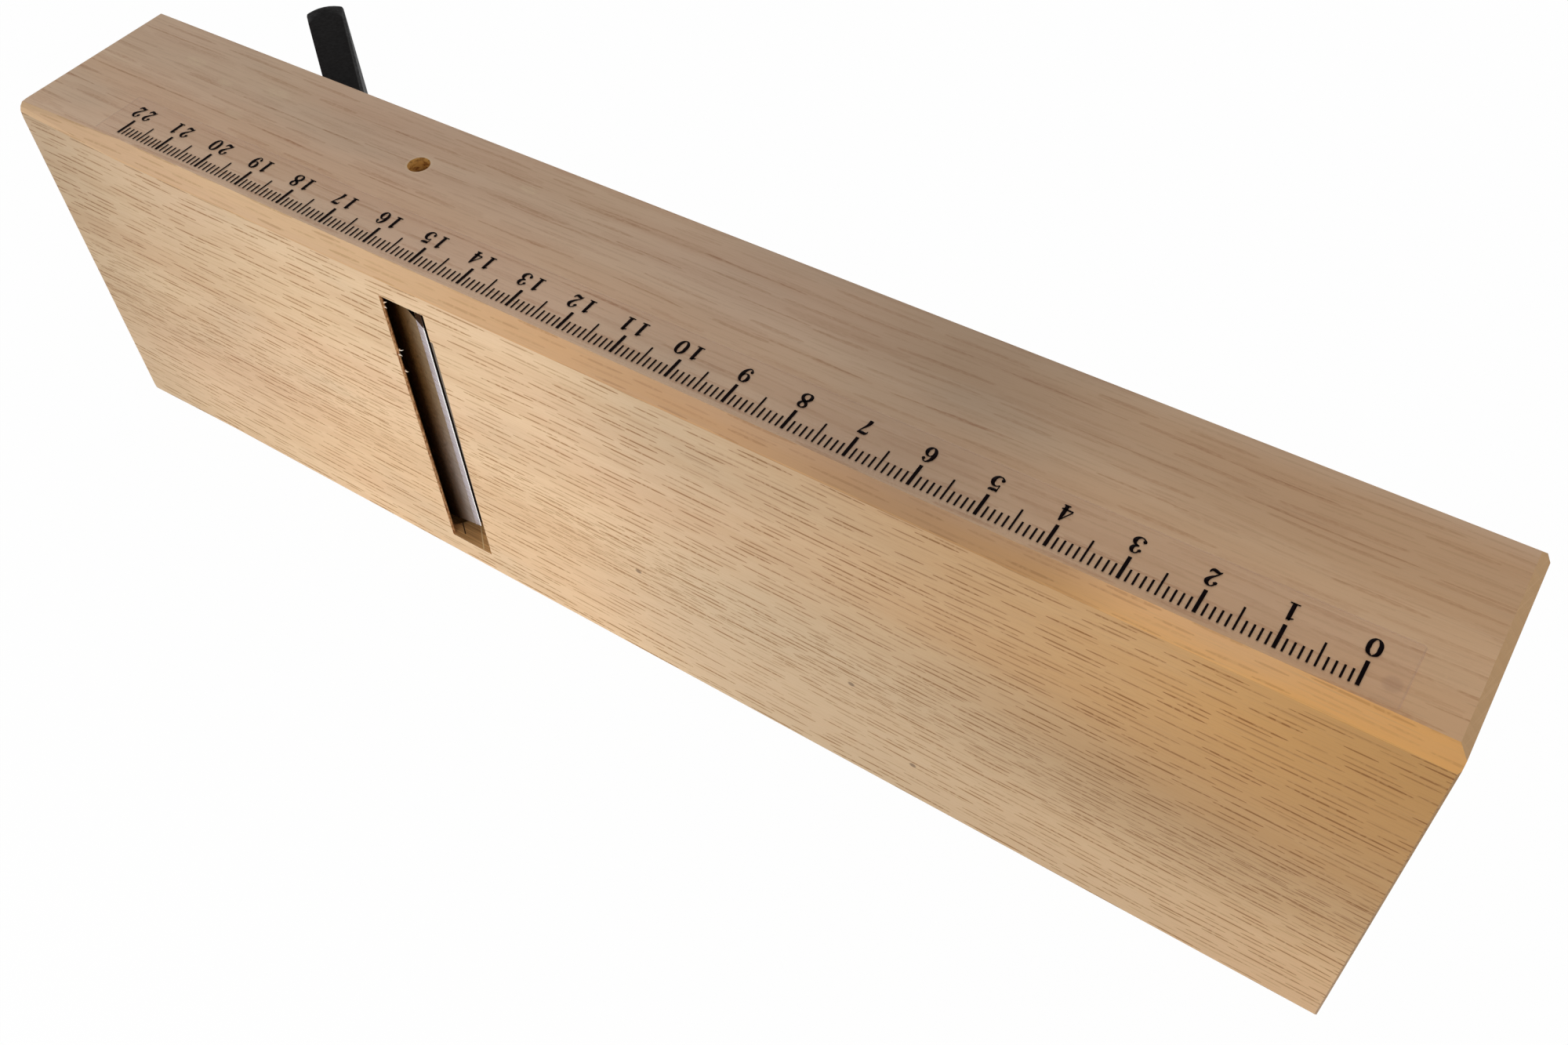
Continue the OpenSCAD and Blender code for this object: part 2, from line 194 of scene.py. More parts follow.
def addBump(tree, shader, height, depth, strength):
    made = addNode(tree, "Bump")
    made.inputs["Strength"].default_value = strength
    made.inputs["Distance"].default_value = depth
    tree.links.new(height, made.inputs["Height"])
    tree.links.new(made.outputs[0], shader.inputs["Normal"])


def selectOnly(piece):
    bpy.ops.object.select_all(action="DESELECT")
    piece.select_set(True)
    bpy.context.view_layer.objects.active = piece


def faceOutwards():
    # ends the edit of a piece with all its faces turned outwards
    bpy.ops.mesh.select_all(action="SELECT")
    bpy.ops.mesh.normals_make_consistent(inside=False)
    bpy.ops.object.mode_set(mode="OBJECT")


def thicken(height):
    # raises the selected flat faces to a plate of this height
    bpy.ops.mesh.extrude_region_move(TRANSFORM_OT_translate={"value": (0, 0, height)})
    faceOutwards()


def dress(nodeName, material):
    mesh = nodes[nodeName].data
    mesh.materials.clear()
    mesh.materials.append(material)


# the camera where the photographer stood, found from the block's corners and the scale
view = {
    "place": (117.52, -130.86, 223.54),
    "turn": (40.983, 3.508, 34.403),
    "lens": 34.15,
    "shift": (0.0344, -0.0143),
}
lens = bpy.data.cameras.new("photoCamera")
lens.sensor_width = 36
lens.lens = view["lens"]
lens.shift_x, lens.shift_y = view["shift"]
lens.clip_start = 0.01
cameraObject = bpy.data.objects.new("photoCamera", lens)
bpy.context.scene.collection.objects.link(cameraObject)
cameraObject.location = [c * mm for c in view["place"]]
cameraObject.rotation_euler = [math.radians(a) for a in view["turn"]]
bpy.context.scene.camera = cameraObject
print("camera set")

# white table, soft light from the front
studio = {
    "tableSize": 4.0,
    "tableDrop": 0.0004,
    "paper": colour(238, 238, 236),
    "whiteShare": 0.985,      # how much of the table is plain white to the eye, the rest takes the shadow
    "skyStrength": 0.32,
    "lamps": [
        # name, place in metres, width and height, power in watts
        ("frontLamp", (0.0, -1.35, 0.15), (1.3, 0.6), 1.8),
        ("nearLamp", (-0.045, -0.255, 0.03), (0.16, 0.08), 0.41),
        ("topLamp", (0.3, 0.5, 1.4), (1.2, 1.2), 2.2),
        ("backLamp", (-0.3, 1.3, 0.4), (1.0, 0.6), 4.0),
    ],
    "aim": (0.0, 0.0, 0.037),
}
bpy.ops.object.select_all(action="DESELECT")
bpy.ops.mesh.primitive_plane_add(size=studio["tableSize"], location=(0, 0, -studio["tableDrop"]))
table = bpy.context.object
table.name = "table"
bpy.ops.object.mode_set(mode="EDIT")
bpy.ops.mesh.select_all(action="SELECT")
bpy.ops.mesh.subdivide(number_cuts=3)
bpy.ops.object.mode_set(mode="OBJECT")
bpy.ops.object.transform_apply(location=True, rotation=True, scale=True)
paper, tree, shader = newMaterial("tablePaper", Roughness=0.9)
shader.inputs["Base Color"].default_value = studio["paper"]
glow = addNode(tree, "Emission")
glow.inputs["Strength"].default_value = 1.0
mixed = addNode(tree, "MixShader")
tree.links.new(times(tree, seenDirectly(tree), studio["whiteShare"]), mixed.inputs[0])
tree.links.new(shader.outputs[0], mixed.inputs[1])
tree.links.new(glow.outputs[0], mixed.inputs[2])
output = [n for n in tree.nodes if n.type == "OUTPUT_MATERIAL"][0]
tree.links.new(mixed.outputs[0], output.inputs["Surface"])
table.data.materials.append(paper)

world = bpy.data.worlds.new("studioWorld")
bpy.context.scene.world = world
world.use_nodes = True
tree = world.node_tree
tree.nodes.clear()
sky = addNode(tree, "Background")
sky.inputs["Color"].default_value = white
tree.links.new(fade(tree, seenDirectly(tree), 0.0, 1.0, studio["skyStrength"], 1.0), sky.inputs["Strength"])
tree.links.new(sky.outputs[0], addNode(tree, "OutputWorld").inputs["Surface"])

for name, place, size, power in studio["lamps"]:
    lamp = bpy.data.lights.new(name, "AREA")
    lamp.shape = "RECTANGLE"
    lamp.size, lamp.size_y = size
    lamp.energy = power
    lampObject = bpy.data.objects.new(name, lamp)
    bpy.context.scene.collection.objects.link(lampObject)
    lampObject.location = place
    lampObject.visible_camera = False
    lampObject.rotation_euler = (Vector(studio["aim"]) - Vector(place)).to_track_quat("-Z", "Y").to_euler()
bpy.context.scene.view_settings.view_transform = "Standard"
print("table, world and lamps set")

# white oak with its rays: short brown dashes on the sole, faint figure on the sides, end grain on the ends
oak = {
    "pale": colour(228, 197, 158),
    "tan": colour(217, 182, 142),
    "rose": colour(224, 184, 154),
    "grey": colour(204, 180, 148),
    "golden": colour(220, 165, 95),
    "fleckTint": (0.5, 0.36, 0.2, 1.0),
    "sideFleckTint": (0.72, 0.58, 0.48, 1.0),
    "frayed": colour(255, 206, 150),
    "frayedDark": colour(176, 112, 66),
    "endBand": colour(255, 205, 148),
    "fineLine": colour(196, 158, 118),
    # the chamfer colours are painted lighter for the light that the chamfers catch
    "chamfer": colour(236, 196, 152),
    "chamferMiddle": colour(222, 167, 111),
    "chamferEnd": colour(244, 180, 102),
    "endGrain": colour(190, 150, 108),
    "endDark": colour(142, 104, 68),
    "knot": colour(112, 84, 60),
    "mouthDark": colour(62, 54, 48),
    "wallLineDark": colour(54, 34, 18),
    "sliverPale": colour(255, 226, 170),
    "reddish": colour(150, 92, 78),
    "cut": colour(244, 190, 116),
    "cutDark": colour(188, 132, 70),
    "wear": colour(240, 214, 178),
    "bore": colour(255, 206, 122),
    "boreDark": colour(182, 122, 56),
    "boreAt": (-50.8, 5.5),
    "boreReach": (2.4, 2.4),
    "haloReach": (2.75, 2.75),          # the worn rim around the pin's hole
    "greyAt": (62.0, 18.0),
    "greyReach": (75.0, 42.0),
    # broken lines of ray: cell along, row across, half width, strength, place of the pattern
    "rows": [
        (14.0, 2.3, 0.25, 1.0, 3.7),
        (9.0, 2.3, 0.2, 0.9, 21.2),
    ],
    "fineRow": (5.2, 0.95, 0.14, 0.85, 64.1),
    "sideRows": [
        (19.0, 2.9, 0.4, 0.6, 83.9),
        (34.0, 5.2, 1.1, 0.3, 12.5),
        (26.0, 6.1, 0.22, 0.8, 41.2),
    ],
    "fineBand": (33.0, 9.0, 30.0),      # band of close short lines: height, half width, how far it wanders
    "pinKnots": [(6.9, 27.4), (48.8, 26.6), (60.4, 12.4)],
    "knotReach": (0.75, 0.6),
    # length along the grain and width across it of one feature
    "fibre": (9.0, 0.22),
    "bands": (150.0, 6.5),
    "sway": (46.0, 18.0),
    "swayReach": 1.8,                   # how far the grain wanders sideways
    "patches": (70.0, 26.0),
    "clouds": (38.0, 15.0),
    "tuftSize": (3.0, 0.35, 1.1),
    "warm": (12.0, 122.0),              # the wood turns golden between these places
    "halfLength": 129.0,
    "halfDepth": 18.0,
    "middle": 37.25,                    # half the width, the height of the middle as it lies
    "halfThroat": 34.3,
    "mouthRear": -40.2,
    "throatFloor": 7.5,                 # height of the throat's lower wall
    "top": 74.0,                        # just under the cheek with the scale
    "ringCentre": (240.0, 20.0),
    "ringStep": 2.6,
    "raySteps": 900.0,
    "scuffs": [                         # x, y, reach
        (-109.6, 8.4, 3.2), (-99.2, 6.1, 2.2), (-87.8, 8.5, 3.4),
        (-90.3, -0.1, 2.6), (-30.0, 9.5, 2.2),
    ],
    "stainAt": (118.7, -12.2),
    "stainReach": (1.5, 1.5),
    # painted light and shade: brightness along the sole at three heights, along its chamfer and along the
    # cheek: place and share
    "soleShade": [
        (12.0, [(-127.0, 0.8), (-98.0, 0.9), (-60.0, 1.0), (-10.0, 0.98), (45.0, 0.9), (129.0, 1.06)]),
        (37.0, [(-127.0, 0.7), (-98.0, 0.8), (-52.0, 0.95), (-10.0, 0.94), (45.0, 0.82), (95.0, 0.7),
                (129.0, 0.75)]),
        (66.0, [(-127.0, 0.62), (-98.0, 0.74), (-52.0, 0.86), (-15.0, 0.91), (20.0, 0.71), (60.0, 0.71),
                (98.0, 0.82), (129.0, 0.74)]),
    ],
    "chamferShade": [
        (-125.0, 0.84), (-70.0, 0.92), (-10.0, 0.9), (22.0, 0.78), (58.0, 0.6), (74.0, 0.66), (92.0, 0.98),
    ],
    "cheekShade": [(-129.0, 1.02), (-10.0, 1.04), (22.0, 0.94), (52.0, 0.79), (84.0, 1.0), (129.0, 1.1)],
    "cheekTint": (1.0, 0.98, 1.18, 1.0),
    # painted light: the cheek brighter towards the sole
    "cheekRise": (8.0, -6.0, 1.18),    # brighter towards the sole: from, to, share
    "wallLine": ((-38.2, -16.8), (-41.2, -14.4), 0.16),
    "sliver": ((-32.7, -17.8), (-37.0, -13.7), 0.14),
    "mouthStrip": (-30.56, 0.55, 62.1, 14.0),     # front edge of the mouth, widest, from and to along it
}


def rayRows(tree, along, across, row):
    # one dash in each cell of a grid of rows, with its own length, place and strength
    stepAlong, stepAcross, halfWidth, strength, shift = row
    lane = plus(tree, over(tree, across, stepAcross), shift)
    laneNumber = calc(tree, "FLOOR", lane)
    laneLuck = addNode(tree, "TexWhiteNoise", noise_dimensions="1D")
    tree.links.new(laneNumber, laneLuck.inputs["W"])
    laneStart = times(tree, laneLuck.outputs["Value"], 17.0)
    run = plus(tree, over(tree, along, stepAlong), laneStart)
    cellNumber = calc(tree, "FLOOR", run)
    cellLuck = addNode(tree, "TexWhiteNoise", noise_dimensions="2D")
    tree.links.new(pack(tree, laneNumber, cellNumber), cellLuck.inputs["Vector"])
    length, start, side = split(tree, cellLuck.outputs["Color"])
    half = fade(tree, length, 0.0, 1.0, 0.24, 0.47)
    spare = minus(tree, 1.0, times(tree, half, 2.0))
    middle = plus(tree, half, times(tree, start, spare))
    endwise = unsigned(tree, minus(tree, minus(tree, run, cellNumber), middle))
    endwise = over(tree, endwise, half)
    inLane = minus(tree, lane, laneNumber)
    sideways = minus(tree, inLane, fade(tree, side, 0.0, 1.0, 0.38, 0.62))
    sideways = times(tree, unsigned(tree, sideways), stepAcross / halfWidth)
    sideways = over(tree, sideways, fade(tree, endwise, 0.4, 1.0, 1.0, 0.5))
    dash = times(tree, fade(tree, sideways, 1.0, 0.45), fade(tree, endwise, 1.0, 0.9))
    power = calc(tree, "FRACT", times(tree, start, 7.3))
    return times(tree, dash, fade(tree, power, 0.0, 0.75, 0.4 * strength, strength))


def squares(tree, a, b):
    return plus(tree, times(tree, a, a), times(tree, b, b))


def spot(tree, x, y, place, reach):
    # a soft round or oval patch
    dx = over(tree, minus(tree, x, place[0]), reach[0])
    dy = over(tree, minus(tree, y, place[1]), reach[1])
    return fade(tree, squares(tree, dx, dy), 1.0, 0.2)


def alongRamp(tree, value, stops):
    # soft steps between places along the block
    share = stops[0][1]
    for (start, low), (stop, high) in zip(stops, stops[1:]):
        share = plus(tree, share, fade(tree, value, start, stop, 0.0, high - low))
    return share


def thinLine(tree, x, y, start, stop, halfWidth):
    # a soft line between two points of a side wall
    length = math.dist(start, stop)
    ux, uy = (stop[0] - start[0]) / length, (stop[1] - start[1]) / length
    dx = minus(tree, x, start[0])
    dy = minus(tree, y, start[1])
    run = plus(tree, times(tree, dx, ux), times(tree, dy, uy))
    off = minus(tree, times(tree, dx, uy), times(tree, dy, ux))
    off = unsigned(tree, off)
    ends = times(tree, fade(tree, run, -0.1, 0.1), fade(tree, run, length + 0.1, length - 0.1))
    return times(tree, fade(tree, off, halfWidth, halfWidth * 0.3), ends)


def makeOak():
    material, tree, shader = newMaterial("whiteOak", Specular_IOR_Level=0.35)
    (x, y, z), (nx, ny, nz) = millimetres(tree)
    # how far across the grain, measured on whatever face this is
    across = minus(tree, times(tree, ny, z), times(tree, nz, y))
    sway = grainNoise(tree, stretched(tree, (x, across, z), (*oak["sway"], 400.0)), 1.0)
    across = plus(tree, across, times(tree, sway, oak["swayReach"]))
    cheek = fade(tree, unsigned(tree, nz), 0.84, 0.93)
    end = fade(tree, unsigned(tree, nx), 0.6, 0.9)
    chamfer = fade(tree, unsigned(tree, times(tree, ny, nz)), 0.25, 0.4)
    # inside the throat and the pin's bore
    skinDeep = oak["halfDepth"] - 0.03
    offMiddle = unsigned(tree, minus(tree, z, oak["middle"]))
    inside = times(tree, fade(tree, unsigned(tree, y), skinDeep, skinDeep - 0.07),
                   fade(tree, offMiddle, oak["halfThroat"] + 0.3, oak["halfThroat"]),
                   fade(tree, unsigned(tree, x), oak["halfLength"] - 2.5, oak["halfLength"] - 3.0))

    # colour of the wood before its rays
    bands = grainNoise(tree, stretched(tree, (x, across, z), (*oak["bands"], 900.0)), 2.0, 0.55, 0.4)
    long, wide = oak["patches"]
    patches = grainNoise(tree, stretched(tree, (x, y, z), (long, wide, wide)), 2.0)
    long, wide = oak["clouds"]
    clouds = grainNoise(tree, stretched(tree, (x, y, z), (long, wide, wide), (5.0, 2.0, 9.0)), 2.0)
    wood = blend(tree, fade(tree, bands, 0.34, 0.68), oak["pale"], oak["tan"])
    wood = blend(tree, fade(tree, patches, 0.42, 0.72, 0.0, 0.25), wood, oak["rose"])
    greyed = times(tree, spot(tree, x, z, oak["greyAt"], oak["greyReach"]), 0.7)
    greyed = most(tree, greyed, fade(tree, clouds, 0.5, 0.8, 0.0, 0.45))
    wood = blend(tree, greyed, wood, oak["grey"])
    warm = fade(tree, plus(tree, x, times(tree, minus(tree, patches, 0.5), 60.0)), *oak["warm"])
    # the front of the sole is more golden towards the side with the scale
    warm = times(tree, warm, fade(tree, z, 2.0, 68.0, 0.15, 1.0),
                 fade(tree, cheek, 0.0, 1.0, 0.95, 0.4), fade(tree, y, 12.0, 17.9, 1.0, 0.4))
    wood = blend(tree, warm, wood, oak["golden"])
    # painted light: the chamfers' wood lighter than the sole for the light that they catch
    edge = blend(tree, fade(tree, x, -70.0, 30.0), oak["chamfer"], oak["chamferMiddle"])
    edge = blend(tree, fade(tree, x, 50.0, 105.0), edge, oak["chamferEnd"])
    edge = blend(tree, fade(tree, clouds, 0.4, 0.8, 0.0, 0.35), edge, oak["tan"])
    edge = blend(tree, fade(tree, bands, 0.45, 0.75, 0.0, 0.35), edge, oak["rose"])
    wood = blend(tree, times(tree, chamfer, 0.85), wood, edge)

    # fine fibre lines and the rays
    fibre = grainNoise(tree, stretched(tree, (x, across, z), (*oak["fibre"], 60.0)), 3.0, 0.6)
    wood = blend(tree, fade(tree, fibre, 0.5, 0.78, 0.0, 0.35), wood, oak["fineLine"])
    bandMiddle, bandReach, bandSway = oak["fineBand"]
    swayed = plus(tree, z, times(tree, sway, bandSway))
    near = unsigned(tree, minus(tree, swayed, bandMiddle + bandSway / 2))
    near = fade(tree, near, bandReach, bandReach * 0.5, 0.15, 1.0)
    flecks = times(tree, rayRows(tree, x, across, oak["fineRow"]), near)
    for row in oak["rows"]:
        flecks = most(tree, flecks, rayRows(tree, x, across, row))
    ragged = grainNoise(tree, stretched(tree, (x, across, z), (0.9, 0.2, 60.0)), 2.0, 0.6)
    gaps = grainNoise(tree, stretched(tree, (x, across, z), (0.8, 0.7, 60.0)), 1.0)
    # weaker in gaps, on the cheeks and on the chamfers, and none on the ends
    flecks = times(tree, flecks, fade(tree, gaps, 0.36, 0.46, 0.5, 1.0),
                   fade(tree, cheek, 0.0, 1.0, 1.0, 0.16), fade(tree, chamfer, 0.0, 1.0, 1.0, 0.4),
                   fade(tree, end, 0.0, 1.0, 1.0, 0.0))
    wood = blend(tree, flecks, wood, oak["fleckTint"], "MULTIPLY")
    # longer and softer lines of ray on the sides
    wandering = plus(tree, across, times(tree, fibre, 0.7))
    broken = fade(tree, ragged, 0.25, 0.65, 0.3, 1.0)
    for row in oak["sideRows"]:
        smudge = times(tree, rayRows(tree, x, wandering, row), cheek, broken)
        wood = blend(tree, smudge, wood, oak["sideFleckTint"], "MULTIPLY")
    onSole = fade(tree, y, -17.9, -17.97)
    for place in oak["pinKnots"]:
        knot = times(tree, spot(tree, x, z, place, oak["knotReach"]), onSole)
        wood = blend(tree, times(tree, knot, 0.75), wood, oak["knot"])

    # painted light and shade: the sole darker towards both ends, the chamfer and the cheek darker ahead of
    # the middle, the cheek brighter towards the sole
    flat = rest(tree, most(tree, cheek, end, chamfer))
    heights, ramps = zip(*oak["soleShade"])
    share = alongRamp(tree, x, ramps[0])
    for below, above, ramp in zip(heights, heights[1:], ramps[1:]):
        share = blend(tree, fade(tree, z, below, above), share, alongRamp(tree, x, ramp))
    shade = blend(tree, flat, white, share)
    wood = blend(tree, 1.0, wood, shade, "MULTIPLY")
    shade = blend(tree, chamfer, white, alongRamp(tree, x, oak["chamferShade"]))
    wood = blend(tree, 1.0, wood, shade, "MULTIPLY")
    start, stop, rise = oak["cheekRise"]
    share = times(tree, alongRamp(tree, x, oak["cheekShade"]), fade(tree, y, stop, start, rise, 1.0))
    shade = blend(tree, cheek, white, share)
    wood = blend(tree, 1.0, wood, shade, "MULTIPLY")
    wood = blend(tree, times(tree, cheek, 0.5), wood, oak["cheekTint"], "MULTIPLY")
    frontBand = fade(tree, unsigned(tree, times(tree, nx, nz)), 0.25, 0.4)
    frontBand = times(tree, frontBand, fade(tree, x, 120.0, 127.0))
    wood = blend(tree, times(tree, frontBand, 0.95), wood, oak["endBand"])
    # a dark strip along the mouth's front edge
    place, width, start, stop = oak["mouthStrip"]
    reach = fade(tree, z, start, stop, width, 0.05)
    darkStrip = times(tree, fade(tree, over(tree, minus(tree, x, place), reach), 1.0, 0.75),
                 fade(tree, x, place - 0.3, place - 0.1), onSole,
                 fade(tree, z, start + 0.25, start + 0.05), fade(tree, z, oak["throatFloor"] - 0.1, 12.0))
    wood = blend(tree, times(tree, darkStrip, 0.92), wood, oak["mouthDark"])

    # end grain: rings about a far centre, thin pale rays, dark pores
    ringY = minus(tree, y, oak["ringCentre"][0])
    ringZ = minus(tree, z, oak["ringCentre"][1])
    out = calc(tree, "SQRT", squares(tree, ringY, ringZ))
    drift = grainNoise(tree, stretched(tree, (x, y, z), (40.0, 9.0, 9.0)), 2.0)
    ring = calc(tree, "FRACT", over(tree, plus(tree, out, times(tree, drift, 3.0)), oak["ringStep"]))
    angle = calc(tree, "ARCTAN2", ringZ, times(tree, ringY, -1.0))
    rays = grainNoise(tree, pack(tree, times(tree, angle, oak["raySteps"]), over(tree, y, 14.0)), 1.0)
    pores = addNode(tree, "TexVoronoi", voronoi_dimensions="2D", feature="F1")
    pores.inputs["Scale"].default_value = 2.6
    tree.links.new(pack(tree, y, z), pores.inputs["Vector"])
    poreDots = times(tree, fade(tree, pores.outputs["Distance"], 0.2, 0.08), fade(tree, ring, 0.55, 0.15))
    butt = blend(tree, fade(tree, ring, 0.1, 1.0, 0.0, 0.5), oak["endGrain"], oak["endDark"])
    butt = blend(tree, fade(tree, rays, 0.56, 0.68, 0.0, 0.6), butt, oak["tan"])
    butt = blend(tree, times(tree, poreDots, 0.8), butt, oak["endDark"])
    wood = blend(tree, end, wood, butt)

    # chisel-cut wood inside the throat
    raw = blend(tree, fade(tree, fibre, 0.35, 0.7), oak["cut"], oak["cutDark"])
    wood = blend(tree, times(tree, inside, fade(tree, y, -9.0, 6.0, 0.85, 0.4)), wood, raw)
    # the frayed edge of the bed, and on the lower wall a thin dark line and a lifted sliver
    frayed = times(tree, fade(tree, y, -17.3, -17.5), fade(tree, nx, 0.5, 0.8),
                   fade(tree, unsigned(tree, minus(tree, x, oak["mouthRear"])), 0.3, 0.15))
    tuft = grainNoise(tree, stretched(tree, (x, y, z), oak["tuftSize"]), 3.0, 0.65)
    torn = blend(tree, fade(tree, tuft, 0.42, 0.62), oak["frayed"], oak["frayedDark"])
    wood = blend(tree, frayed, wood, torn)
    lowWall = fade(tree, unsigned(tree, minus(tree, z, oak["throatFloor"])), 0.2, 0.05)
    wallLine = times(tree, thinLine(tree, x, y, *oak["wallLine"]), lowWall)
    wood = blend(tree, wallLine, wood, oak["wallLineDark"])
    sliver = times(tree, thinLine(tree, x, y, *oak["sliver"]), lowWall)
    wood = blend(tree, sliver, wood, oak["sliverPale"])
    bore = spot(tree, x, y, oak["boreAt"], oak["boreReach"])
    bore = times(tree, fade(tree, bore, 0.0, 0.05), rest(tree, cheek))
    mottle = grainNoise(tree, stretched(tree, (x, y, z), (0.9, 0.9, 0.6)), 3.0, 0.6)
    drilled = blend(tree, fade(tree, mottle, 0.42, 0.68), oak["bore"], oak["boreDark"])
    # painted shade: the bore darker deeper down
    drilled = blend(tree, 1.0, drilled, fade(tree, z, 71.4, 73.4, 0.75, 1.0), "MULTIPLY")
    wood = blend(tree, bore, wood, drilled)
    halo = times(tree, spot(tree, x, y, oak["boreAt"], oak["haloReach"]), cheek)
    wood = blend(tree, times(tree, fade(tree, halo, 0.0, 0.5), 0.35), wood, oak["wear"])

    # pale scuffs and one reddish stain on the side with the scale
    shown = times(tree, fade(tree, z, oak["top"], oak["top"] + 0.3), cheek)
    for place in oak["scuffs"]:
        mark = spot(tree, x, y, place, (place[2], place[2] * 0.45))
        mark = times(tree, mark, shown, fade(tree, ragged, 0.3, 0.7, 0.05, 0.5))
        wood = blend(tree, mark, wood, oak["wear"])
    stain = times(tree, spot(tree, x, y, oak["stainAt"], oak["stainReach"]), shown)
    wood = blend(tree, times(tree, stain, 0.22), wood, oak["reddish"])

    tree.links.new(wood, shader.inputs["Base Color"])
    tree.links.new(fade(tree, fibre, 0.3, 0.7, 0.5, 0.62), shader.inputs["Roughness"])
    dips = plus(tree, times(tree, flecks, -0.15), times(tree, fibre, -0.4))
    dips = plus(tree, dips, times(tree, poreDots, end, -0.8))
    addBump(tree, shader, dips, 0.00005, 0.6)
    return material


dress("block", makeOak())
print("oak made")

# the blade: forge-black back and head, ground bevel, bright steel
iron = {
    "axis": (-0.7960020, 0.6052940),
    "edge": (-33.12, -16.5),
    "black": colour(7, 5, 5),
    "brown": colour(13, 10, 9),
    "worn": colour(26, 23, 20),
    # painted shade and reflection on the ground bevel: dark at its heel, bright towards the steel
    "heelShade": colour(40, 22, 12),
    "middle": colour(98, 70, 38),
    "middleLow": colour(92, 75, 62),
    "ground": colour(138, 116, 88),
    "groundLow": colour(148, 135, 126),
    "bevelReach": (22.0, 18.0),         # the ground bevel ends this far up the blade
    "heelEnd": (-44.0, -38.5),          # its brown heel gives way here, and the middle after it
    "middleEnd": (-39.5, -35.2),
    "lowPart": (48.0, 22.0),            # between these heights it turns greyer
    "wornRadius": 0.00045,
}
steel = {
    "edgeGlint": colour(255, 254, 252),
    "wornEdge": colour(232, 230, 228),
    "wornRadius": 0.0002,
    "sides": colour(40, 30, 28),
    # piece, name of its steel, bright and dull tint, roughness, grain along and across, share of clouds
    "each": [
        ("blade_steel", "hardSteel", colour(214, 208, 214), colour(186, 180, 186), 0.3, (24.0, 0.25), 0.2),
        ("chipbreaker", "darkSteel", colour(128, 124, 122), colour(92, 87, 83), 0.36, (24.0, 0.25), 0.3),
        ("chipbreaker_pin", "pinSteel", colour(170, 164, 158), colour(112, 100, 90), 0.34, (0.5, 12.0), 0.5),
    ],
}


def alongBlade(tree, x, y):
    dx = times(tree, minus(tree, x, iron["edge"][0]), iron["axis"][0])
    dy = times(tree, minus(tree, y, iron["edge"][1]), iron["axis"][1])
    return plus(tree, dx, dy)


def edgeWear(tree, radius):
    # where the surface turns sharply, worn brighter
    turned = addNode(tree, "Bevel", samples=6)
    turned.inputs["Radius"].default_value = radius
    flat = addNode(tree, "NewGeometry")
    same = addNode(tree, "VectorMath", operation="DOT_PRODUCT")
    tree.links.new(turned.outputs[0], same.inputs[0])
    tree.links.new(flat.outputs["Normal"], same.inputs[1])
    return fade(tree, same.outputs["Value"], 0.995, 0.93)


def makeBlackIron():
    material, tree, shader = newMaterial("blackIron", Specular_IOR_Level=0.03)
    (x, y, z), (_, ny, _) = millimetres(tree)
    along = alongBlade(tree, x, y)
    blotch = grainNoise(tree, stretched(tree, (x, y, z), (7.0, 7.0, 7.0)), 3.0, 0.6)
    speck = grainNoise(tree, stretched(tree, (x, y, z), (0.7, 0.7, 0.7)), 3.0, 0.6)
    drawn = grainNoise(tree, stretched(tree, (along, z, y), (30.0, 0.35, 30.0)), 2.0)
    skin = blend(tree, fade(tree, blotch, 0.4, 0.75, 0.0, 0.7), iron["black"], iron["brown"])
    worn = times(tree, edgeWear(tree, iron["wornRadius"]), fade(tree, speck, 0.3, 0.6, 0.35, 0.9))
    skin = blend(tree, worn, skin, iron["worn"])
    # the ground bevel, with painted shade dark brown at its heel and a painted reflection bright towards the
    # steel
    bevel = times(tree, fade(tree, ny, -0.9, -0.95), fade(tree, along, *iron["bevelReach"]))
    low = fade(tree, z, *iron["lowPart"])
    middle = blend(tree, low, iron["middle"], iron["middleLow"])
    bright = blend(tree, low, iron["ground"], iron["groundLow"])
    ground = blend(tree, fade(tree, x, *iron["heelEnd"]), iron["heelShade"], middle)
    ground = blend(tree, fade(tree, x, *iron["middleEnd"]), ground, bright)
    ground = blend(tree, fade(tree, drawn, 0.4, 0.75, 0.0, 0.35), ground, iron["middle"])
    skin = blend(tree, bevel, skin, ground)
    tree.links.new(skin, shader.inputs["Base Color"])
    tree.links.new(times(tree, bevel, 0.75), shader.inputs["Metallic"])
    tree.links.new(fade(tree, speck, 0.3, 0.7, 0.42, 0.58), shader.inputs["Roughness"])
    addBump(tree, shader, plus(tree, speck, times(tree, blotch, 1.5)), 0.00006, 0.5)
    return material


